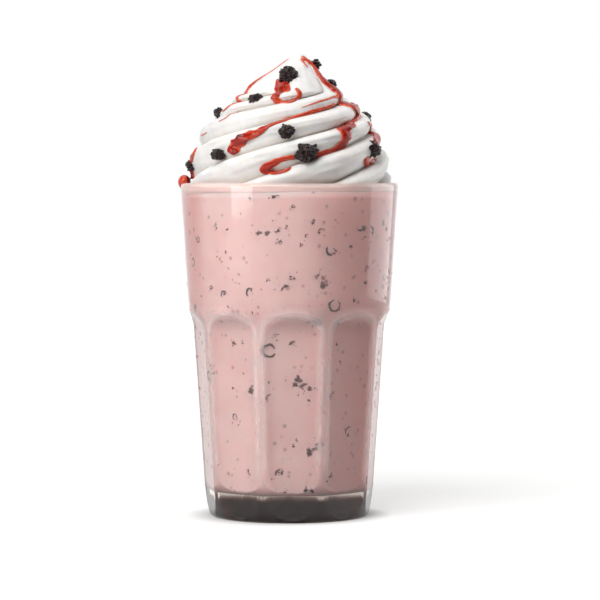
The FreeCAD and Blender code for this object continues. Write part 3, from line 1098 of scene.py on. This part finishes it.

# %% [markdown]
# Whipped cream is fat and air: light goes a few millimetres into it before it comes back, so
# its shadows are soft and faintly warm. It has a low, wide shine from its fat. Its surface is
# pitted by tiny bubbles, well under a millimetre. Its deep creases are painted a beige shade,
# found by an ambient occlusion node by how closed in they are. Where the cream meets the drink,
# it takes up its pink.

# %% Whipped dairy cream
def whipped_dairy_cream():
    """Soft near-white with a low shine, painted beige shade in its creases and pink at the drink."""
    material, output = new_material("whipped_dairy_cream")
    place = add_node(material, "ShaderNodeTexCoord")
    bubbles = add_node(material, "ShaderNodeTexNoise", values={
        "Scale": per_metre(0.7), "Detail": 3.0, "Roughness": 0.6}, links={"Vector": place.outputs["Object"]})
    drag = add_node(material, "ShaderNodeTexNoise", values={
        "Scale": per_metre(3.5), "Detail": 2.0}, links={"Vector": place.outputs["Object"]})
    relief = add_node(material, "ShaderNodeBump", values={"Strength": 0.35, "Distance": 0.12 * MM},
                      links={"Height": bubbles.outputs["Fac"]})
    soft_relief = add_node(material, "ShaderNodeBump", values={"Strength": 0.3, "Distance": 0.4 * MM},
                           links={"Height": drag.outputs["Fac"], "Normal": relief.outputs["Normal"]})
    tint = add_node(material, "ShaderNodeValToRGB", links={"Fac": drag.outputs["Fac"]}, stops=[
        (0.3, "#E6E3E0"), (0.7, "#EEECEA")])
    axes = add_node(material, "ShaderNodeSeparateXYZ", links={0: place.outputs["Object"]})
    stain = add_node(material, "ShaderNodeMapRange", values={
        "From Min": (milk_level + 1.5) * MM, "From Max": (glass_height + 1.0) * MM,
        "To Min": 0.9, "To Max": 0.0},
        links={"Value": axes.outputs["Z"]})
    # Painted shade: the creases that ambient occlusion finds are darkened to beige.
    painted_fold_shade = add_node(material, "ShaderNodeAmbientOcclusion", samples=4, values={"Distance": 7.0 * MM})
    crease = add_node(material, "ShaderNodeMapRange", values={
        "From Min": 0.2, "From Max": 0.52, "To Min": 0.45, "To Max": 0.0},
        links={"Value": painted_fold_shade.outputs["AO"]})
    creased = add_node(material, "ShaderNodeMix", data_type="RGBA", values={7: linear("#CDBBA8")},
                       links={0: crease.outputs["Result"], 6: tint.outputs["Color"]})
    stained = add_node(material, "ShaderNodeMix", data_type="RGBA", values={7: linear("#E3C0BC")},
                       links={0: stain.outputs["Result"], 6: creased.outputs[2]})
    body = add_node(material, "ShaderNodeBsdfPrincipled", values={
        "Roughness": 0.45, "IOR": 1.4, "Specular IOR Level": 0.35, "Subsurface Weight": 0.6,
        "Subsurface Scale": 2.6 * MM, "Subsurface Radius": (1.0, 0.82, 0.62)},
        links={"Base Color": stained.outputs[2], "Normal": soft_relief.outputs["Normal"]})
    return finish_material(material, output, body.outputs[0])


cream.data.materials.append(whipped_dairy_cream())

# %% [markdown]
# ## Blackcurrants
#
# The berries on the cream are half dried: they have shrunk into knobbly, wrinkled lumps with the
# dry calyx still on. Each takes its place and size from its solid in the frame. A sphere is
# pushed in and out by noise whose sign is dropped, so that every place where it crosses zero
# turns to a sharp crease between two round lumps. Coarse noise makes the lumps and fine noise
# the wrinkles. Each berry starts from another place in the noise, so no two match. The calyx is
# as dark as the skin and no larger than a knob, so the solids have one and these meshes don't.

# %% One shrivelled berry
berry_nodes = sorted(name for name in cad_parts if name.startswith("blackcurrant"))


def ball(level):
    """A unit sphere of triangles, as vertices and faces."""
    shape = bmesh.new()
    bmesh.ops.create_icosphere(shape, subdivisions=level, radius=1.0)
    vertices = [tuple(v.co) for v in shape.verts]
    faces = [tuple(v.index for v in face.verts) for face in shape.faces]
    shape.free()
    return vertices, faces


ball_vertices, ball_faces = ball(5)
lump_pitch = 2.0
lump_sharpness = 0.55
lump_gain = 0.58
wrinkle_pitch = 4.0
wrinkle_sharpness = 0.7
wrinkle_gain = 0.07
sag_pitch = 1.2
sag_gain = 0.25
bend_pitch = 1.6
bend_gain = 0.6
deepest = 0.6


def shrivelled_berry(node, seed):
    """Vertices and faces of one dried berry, with the place and size of its solid."""
    low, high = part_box(node)
    middle = (low + high) / 2.0 / MM
    size = (high - low) / MM
    spread = Vector((max(size.x, size.y), min(size.x, size.y) * 0.5 + size.z * 0.5, size.z)) * 0.5
    facing = math.atan2(middle.y, middle.x) + math.pi / 2.0
    turn = Matrix.Rotation(facing, 3, "Z")
    shift = Vector((seed * 7.3, seed * 3.1, seed * 5.7))
    vertices = []
    for x, y, z in ball_vertices:
        way = Vector((x, y, z))
        bend = Vector((noise.noise(way * bend_pitch + shift), noise.noise(way * bend_pitch - shift), 0.0))
        bent = way + bend * bend_gain
        lumps = abs(noise.noise(bent * lump_pitch + shift)) ** lump_sharpness
        wrinkles = abs(noise.noise(bent * wrinkle_pitch - shift)) ** wrinkle_sharpness
        sag = noise.noise(way * sag_pitch + shift)
        push = deepest + lump_gain * lumps + wrinkle_gain * wrinkles + sag_gain * sag
        point = turn @ Vector((way.x * spread.x, way.y * spread.y, way.z * spread.z)) * push
        vertices.append(tuple(middle + point))
    return vertices, ball_faces


print(len(berry_nodes), "berries, each of", len(ball_vertices), "points")

# %% [markdown]
# Dried blackcurrant skin is almost black with a purple-brown cast where it is thin. It has dull
# wrinkles between shiny knobs, so its roughness changes over a millimetre or so.

# %% Dried blackcurrant skin
def dried_skin():
    """Near-black skin, shiny on its knobs and dull in its creases."""
    material, output = new_material("dried_blackcurrant_skin")
    place = add_node(material, "ShaderNodeTexCoord")
    patches = add_node(material, "ShaderNodeTexNoise", values={
        "Scale": per_metre(1.8), "Detail": 4.0, "Roughness": 0.6}, links={"Vector": place.outputs["Object"]})
    colour = add_node(material, "ShaderNodeValToRGB", links={"Fac": patches.outputs["Fac"]}, stops=[
        (0.35, "#1C0A0B"), (0.6, "#271011"), (0.8, "#3C1A1A")])
    roughness = add_node(material, "ShaderNodeMapRange", values={"To Min": 0.03, "To Max": 0.2},
                         links={"Value": patches.outputs["Fac"]})
    creases = add_node(material, "ShaderNodeTexVoronoi", feature="DISTANCE_TO_EDGE",
                       values={"Scale": per_metre(0.9)}, links={"Vector": place.outputs["Object"]})
    relief = add_node(material, "ShaderNodeBump", values={"Strength": 0.08, "Distance": 0.1 * MM},
                      links={"Height": creases.outputs["Distance"]})
    skin = add_node(material, "ShaderNodeBsdfPrincipled", values={
        "IOR": 1.45, "Specular IOR Level": 0.36},
        links={"Base Color": colour.outputs["Color"], "Roughness": roughness.outputs["Result"],
               "Normal": relief.outputs["Normal"]})
    return finish_material(material, output, skin.outputs[0])


berry_skin = dried_skin()
for number, node in enumerate(berry_nodes, start=1):
    vertices, faces = shrivelled_berry(node, number)
    berry = make_piece("berry_{:02d}".format(number), vertices, faces, "blackcurrant", node)
    berry.data.materials.append(berry_skin)

# %% [markdown]
# ## Fruit sauce
#
# The sauce is drizzled on: it pools in the creases, thins to threads over the folds, and runs
# down under its own weight. Each run is a ribbon laid on the cream along a few chosen points.
# Its section is a low bead whose edge dips into the cream. How far each point stands over the
# cream is kept on the mesh at the end, because the sauce's colour depends on its depth.

# %% Laying a run on the cream
look_aside = 3.0
look_along = 0.014
crease_bridge = 0.45
bead_share = 0.85
bead_points = 12
bead_sink = 0.35
steps_between = 10


def surface_frame(azimuth, rise):
    """A point that bridges the cream's narrow creases, and the direction square to the cream."""
    here = Vector(cream_point(azimuth, rise))
    left, right = (Vector(cream_point(azimuth + side * look_aside, rise)) for side in (-1.0, 1.0))
    below, above = (Vector(cream_point(azimuth, rise + side * look_along)) for side in (-1.0, 1.0))
    normal = (right - left).cross(above - below).normalized()
    outermost = max(max(0.0, (near - here).dot(normal)) for near in (left, right, below, above))
    return here + normal * crease_bridge * outermost, normal


def smoothed(stops):
    """Values between the stops, on a Catmull-Rom curve, which passes through every stop."""
    samples = []
    for index in range(len(stops) - 1):
        before = stops[max(0, index - 1)]
        start, end = stops[index], stops[index + 1]
        after = stops[min(len(stops) - 1, index + 2)]
        last_stretch = index == len(stops) - 2
        for step in range(steps_between + last_stretch):
            t = step / steps_between
            samples.append([0.5 * (2.0 * b + (c - a) * t + (2.0 * a - 5.0 * b + 4.0 * c - d) * t * t
                                   + (3.0 * b - a - 3.0 * c + d) * t ** 3)
                            for a, b, c, d in zip(before, start, end, after)])
    return samples


def sauce_run(stops):
    """A bead along (azimuth, rise, width, height) stops, with uneven edges and tapered ends."""
    samples = smoothed(stops)
    rings = []
    for index, (azimuth, rise, width, height) in enumerate(samples):
        near = samples[max(0, index - 1)]
        far = samples[min(len(samples) - 1, index + 1)]
        here, normal = surface_frame(azimuth, rise)
        travel = Vector(cream_point(far[0], far[1])) - Vector(cream_point(near[0], near[1]))
        side = normal.cross(travel).normalized()
        end_taper = min(1.0, 0.25 + 0.35 * min(index, len(samples) - 1 - index))
        wander = 1.0 + 0.25 * noise.noise(here / 3.2)
        ring = []
        for corner in range(bead_points):
            lap = 2.0 * math.pi * corner / bead_points
            edge = Vector((3.0 * math.copysign(1.0, math.cos(lap)), 0.0, 0.0))
            lean = 1.0 + 0.3 * noise.noise(here / 2.4 + edge)
            out = side * (math.cos(lap) * width / 2.0 * end_taper * wander * lean)
            lift = max(-bead_sink, math.sin(lap)) * height * bead_share * end_taper
            ring.append(tuple(here + out + normal * lift))
        rings.append(ring)
    return skin_over(np.array(rings))


print("a stretch of sauce has", steps_between * bead_points, "points")

# %% [markdown]
# A run is a list of given stops, as a cook guides a spoon: it narrows where it passes
# over a fold and widens where it pools. The first fifteen runs lie in front and at the sides, and
# the last five behind.

# %% The runs of sauce
# Azimuth in degrees, share of the cream's rise, width and height in millimetres.
sauce_runs = [
    [(-84, 0.97, 0.8, 0.4), (-86, 0.87, 1.3, 0.5), (-85, 0.82, 1.8, 0.6), (-86, 0.76, 2.4, 0.8),
     (-80, 0.705, 2.4, 0.8), (-71, 0.648, 2.2, 0.8), (-66, 0.593, 1.7, 0.6), (-75, 0.547, 0.9, 0.4)],
    [(-59, 0.468, 0.6, 0.4), (-51, 0.506, 1.0, 0.4), (-55, 0.545, 0.6, 0.4)],
    [(-85, 0.363, 0.6, 0.4), (-77, 0.377, 0.9, 0.4), (-72, 0.392, 0.5, 0.4)],
    [(-75, 0.273, 1.4, 0.6), (-76, 0.223, 2.2, 0.8), (-85, 0.158, 3.0, 1.1), (-91, 0.096, 3.4, 1.4),
     (-92, 0.03, 3.8, 1.6)],
    [(-30, 0.80, 1.8, 0.7), (-21, 0.74, 3.4, 1.0), (-17, 0.68, 3.8, 1.1), (-19, 0.628, 2.6, 0.9)],
    [(-20, 0.635, 2.2, 0.8), (-6, 0.614, 2.8, 0.9), (5, 0.64, 3.0, 0.9), (8, 0.681, 2.2, 0.8),
     (3, 0.73, 1.6, 0.6)],
    [(-18, 0.775, 5.0, 1.0), (-10, 0.735, 4.4, 1.0), (-4, 0.70, 2.6, 0.8)],
    [(8, 0.965, 1.0, 0.4), (26, 0.927, 1.2, 0.4), (34, 0.887, 0.8, 0.4)],
    [(-40, 0.225, 3.6, 0.9), (-38, 0.26, 5.8, 1.0), (-35, 0.295, 6.4, 1.1), (-30, 0.335, 5.0, 1.0),
     (-19, 0.395, 3.2, 0.9), (-11, 0.448, 2.6, 0.9), (2, 0.494, 3.0, 0.9), (15, 0.534, 2.4, 0.8),
     (29, 0.566, 2.6, 0.8), (49, 0.608, 2.0, 0.7)],
    [(7, 0.572, 0.6, 0.4), (22, 0.612, 1.0, 0.4), (42, 0.652, 1.4, 0.5), (56, 0.661, 1.8, 0.6)],
    [(20, 0.985, 1.6, 0.5), (50, 0.94, 2.4, 0.7), (62, 0.89, 3.0, 0.8), (54, 0.825, 3.2, 0.9),
     (56, 0.763, 4.0, 1.1), (62, 0.717, 5.4, 1.2), (62, 0.66, 5.0, 1.2), (63, 0.592, 5.4, 1.2),
     (72, 0.555, 5.6, 1.2), (84, 0.53, 4.0, 1.1)],
    [(84, 0.53, 3.8, 1.1), (69, 0.508, 5.4, 1.2), (50, 0.452, 4.4, 1.1), (37, 0.405, 5.4, 1.2),
     (38, 0.352, 5.8, 1.2), (36, 0.299, 5.0, 1.2), (31, 0.261, 3.8, 1.1), (23, 0.23, 3.2, 1.0),
     (12, 0.20, 2.8, 0.9)],
    [(6, 0.205, 2.2, 0.8), (-4, 0.185, 2.8, 0.8), (-11, 0.145, 3.4, 0.9), (-16, 0.102, 3.6, 0.9),
     (-10, 0.079, 2.8, 0.9), (-2, 0.095, 2.4, 0.8), (1, 0.124, 1.6, 0.7)],
    [(64, 0.469, 1.8, 0.6), (80, 0.42, 2.4, 0.8), (74, 0.354, 3.8, 1.0), (62, 0.30, 4.0, 1.0)],
    [(51, 0.177, 2.6, 0.9), (62, 0.155, 5.0, 1.1), (72, 0.177, 2.6, 0.9)],
    [(120, 0.9, 1.4, 0.6), (128, 0.74, 2.6, 0.9), (126, 0.58, 2.4, 0.9), (132, 0.42, 3.4, 1.1),
     (130, 0.3, 4.6, 1.2)],
    [(150, 0.36, 3.0, 0.9), (168, 0.42, 2.4, 0.9), (186, 0.5, 2.4, 0.9), (204, 0.57, 3.4, 1.0)],
    [(196, 0.94, 1.6, 0.7), (206, 0.8, 2.2, 0.8), (222, 0.68, 2.4, 0.9), (226, 0.54, 1.4, 0.7)],
    [(196, 0.22, 4.4, 1.1), (206, 0.17, 5.0, 1.2), (222, 0.14, 3.0, 1.0), (236, 0.18, 2.0, 0.8)],
    [(244, 0.46, 2.0, 0.8), (240, 0.36, 3.6, 1.1), (246, 0.26, 4.6, 1.2)],
]
print(len(sauce_runs), "runs of sauce over", sum(len(run) for run in sauce_runs), "stops")

# %% [markdown]
# One run ends in a drop that hangs over the rim. The drop and all the runs are one object, and a
# voxel remesh joins whatever touches, as wet sauce does. A few rounds of smoothing then take the
# steps of the voxels away. The depth of the sauce is its height over the cream. A drop that
# hangs free has no cream behind it and lets light through, so its depth is held to half a
# millimetre, which leaves it a bright red.

# %% The sauce, melted together where it touches
drop_middle = Vector(around(rim_radius - 1.4, -91.0, glass_height + 0.2))
drop_size = Vector((2.6, 3.2, 3.0))
drop = [tuple(drop_middle + Vector((x * drop_size.x, y * drop_size.y, z * drop_size.z)))
        for x, y, z in ball_vertices]
sauce = make_piece("fruit_sauce", *joined([sauce_run(run) for run in sauce_runs] + [(drop, ball_faces)]),
                   "fruit_sauce")
voxel_size = 0.28
smoothing_rounds = 7
free_drop_depth = 0.5
melt = sauce.modifiers.new("melt", "REMESH")
melt.mode = "VOXEL"
melt.voxel_size = voxel_size * MM
settle = sauce.modifiers.new("settle", "SMOOTH")
settle.iterations = smoothing_rounds
depsgraph = bpy.context.evaluated_depsgraph_get()
melted = bpy.data.meshes.new_from_object(sauce.evaluated_get(depsgraph))
sauce.modifiers.clear()
sauce.data = melted
sauce.data.shade_smooth()
cream_tree = BVHTree.FromObject(cream, depsgraph)
depth = sauce.data.attributes.new("sauce_depth", "FLOAT", "POINT")
heights = []
for vertex in sauce.data.vertices:
    spot, normal, _, _ = cream_tree.find_nearest(vertex.co)
    deep = max(0.0, (vertex.co - spot).dot(normal))
    hangs_free = math.hypot(vertex.co.x, vertex.co.y) > bore_rim * MM
    heights.append(min(deep, free_drop_depth * MM) if hangs_free else deep)
depth.data.foreach_set("value", np.array(heights, np.float32))
print("sauce", len(sauce.data.vertices), "points, up to", round(max(heights) / MM, 2), "mm deep")

# %% [markdown]
# The sauce is fruit juice thickened with pectin: clear, deep red and very shiny. Over white
# cream a thin film looks orange-red, because light passes it twice and comes back, and a
# millimetre or more looks a very dark red. A ramp over the depth stands for that.

# %% Red fruit sauce
def pectin_sauce():
    """Shiny red whose colour runs from orange where it is thin to a dark red where it is deep."""
    material, output = new_material("red_pectin_sauce")
    depth_value = add_node(material, "ShaderNodeAttribute", attribute_name="sauce_depth")
    share = add_node(material, "ShaderNodeMapRange", values={"From Min": 0.0, "From Max": 1.3 * MM},
                     links={"Value": depth_value.outputs["Fac"]})
    colour = add_node(material, "ShaderNodeValToRGB", links={"Fac": share.outputs["Result"]}, stops=[
        (0.0, "#E8906F"), (0.25, "#D14D2C"), (0.6, "#A5200E"), (1.0, "#650A07")])
    place = add_node(material, "ShaderNodeTexCoord")
    dimples = add_node(material, "ShaderNodeTexNoise", values={
        "Scale": per_metre(2.2), "Detail": 1.0}, links={"Vector": place.outputs["Object"]})
    relief = add_node(material, "ShaderNodeBump", values={"Strength": 0.5, "Distance": 0.5 * MM},
                      links={"Height": dimples.outputs["Fac"]})
    body = add_node(material, "ShaderNodeBsdfPrincipled", values={
        "Roughness": 0.06, "IOR": 1.38, "Subsurface Weight": 0.15, "Subsurface Scale": 1.0 * MM},
        links={"Base Color": colour.outputs["Color"], "Normal": relief.outputs["Normal"]})
    return finish_material(material, output, body.outputs[0])


sauce.data.materials.clear()
sauce.data.materials.append(pectin_sauce())

# %% [markdown]
# ## Dew on the glass
#
# The drink is cold, so the mist on the glass gathers into small drops of dew here and there, in
# loose upright bands at the sides and behind. Each is a flattened bead on the outside, and is a
# mesh because a drop bends light and a painted one doesn't.

# %% Dew drops
dew_rng = random.Random(21)
dew_count = 150
dew_azimuths = (68.0, 74.0, 80.0, 196.0, 262.0, 290.0)
dew_spread = 7.0
dew_heights = (20.0, 126.0)
smallest_dew = 0.25
dew_growth = 0.5
dew_droop = 1.15
dew_flatness = 0.5
beads = []
bead_vertices, bead_faces = ball(2)
for _ in range(dew_count):
    azimuth = dew_rng.choice(dew_azimuths) + dew_rng.gauss(0.0, dew_spread)
    height = dew_rng.uniform(*dew_heights)
    size = smallest_dew + dew_growth * dew_rng.random() ** 2.0
    blank = float(np.interp(height, blank_heights, blank_radii))
    centre = Vector(around(panelled(blank, height, azimuth), azimuth, height))
    outward = Vector(around(1.0, azimuth, 0.0))
    bead = []
    for x, y, z in bead_vertices:
        way = Vector((x, y, z * dew_droop)) * size
        bead.append(tuple(centre + way - outward * (way.dot(outward) * dew_flatness)))
    beads.append((bead, bead_faces))
dew = make_piece("dew_drops", *joined(beads), "glass")

# %% [markdown]
# Water is clear and perfectly smooth. Its index of refraction is 1.33, lower than that of glass,
# so a drop on glass hardly shows but for the small bright spot of a lamp in it. Lamps shine
# through it by the same stand-in as through the glass.

# %% Water
def dew_water():
    """Clear water that bends light, and lets the lamps through."""
    material, output = new_material("dew_water")
    water = add_node(material, "ShaderNodeBsdfPrincipled", values={
        "Base Color": linear("#FFFFFF"), "Roughness": 0.0, "IOR": 1.33, "Transmission Weight": 1.0})
    to_lamps = add_node(material, "ShaderNodeBsdfTransparent", values={"Color": linear("#FFFFFF")})
    path = add_node(material, "ShaderNodeLightPath")
    either = add_node(material, "ShaderNodeMixShader", links={
        0: path.outputs["Is Shadow Ray"], 1: water.outputs[0], 2: to_lamps.outputs[0]})
    return finish_material(material, output, either.outputs[0])


dew.data.materials.append(dew_water())
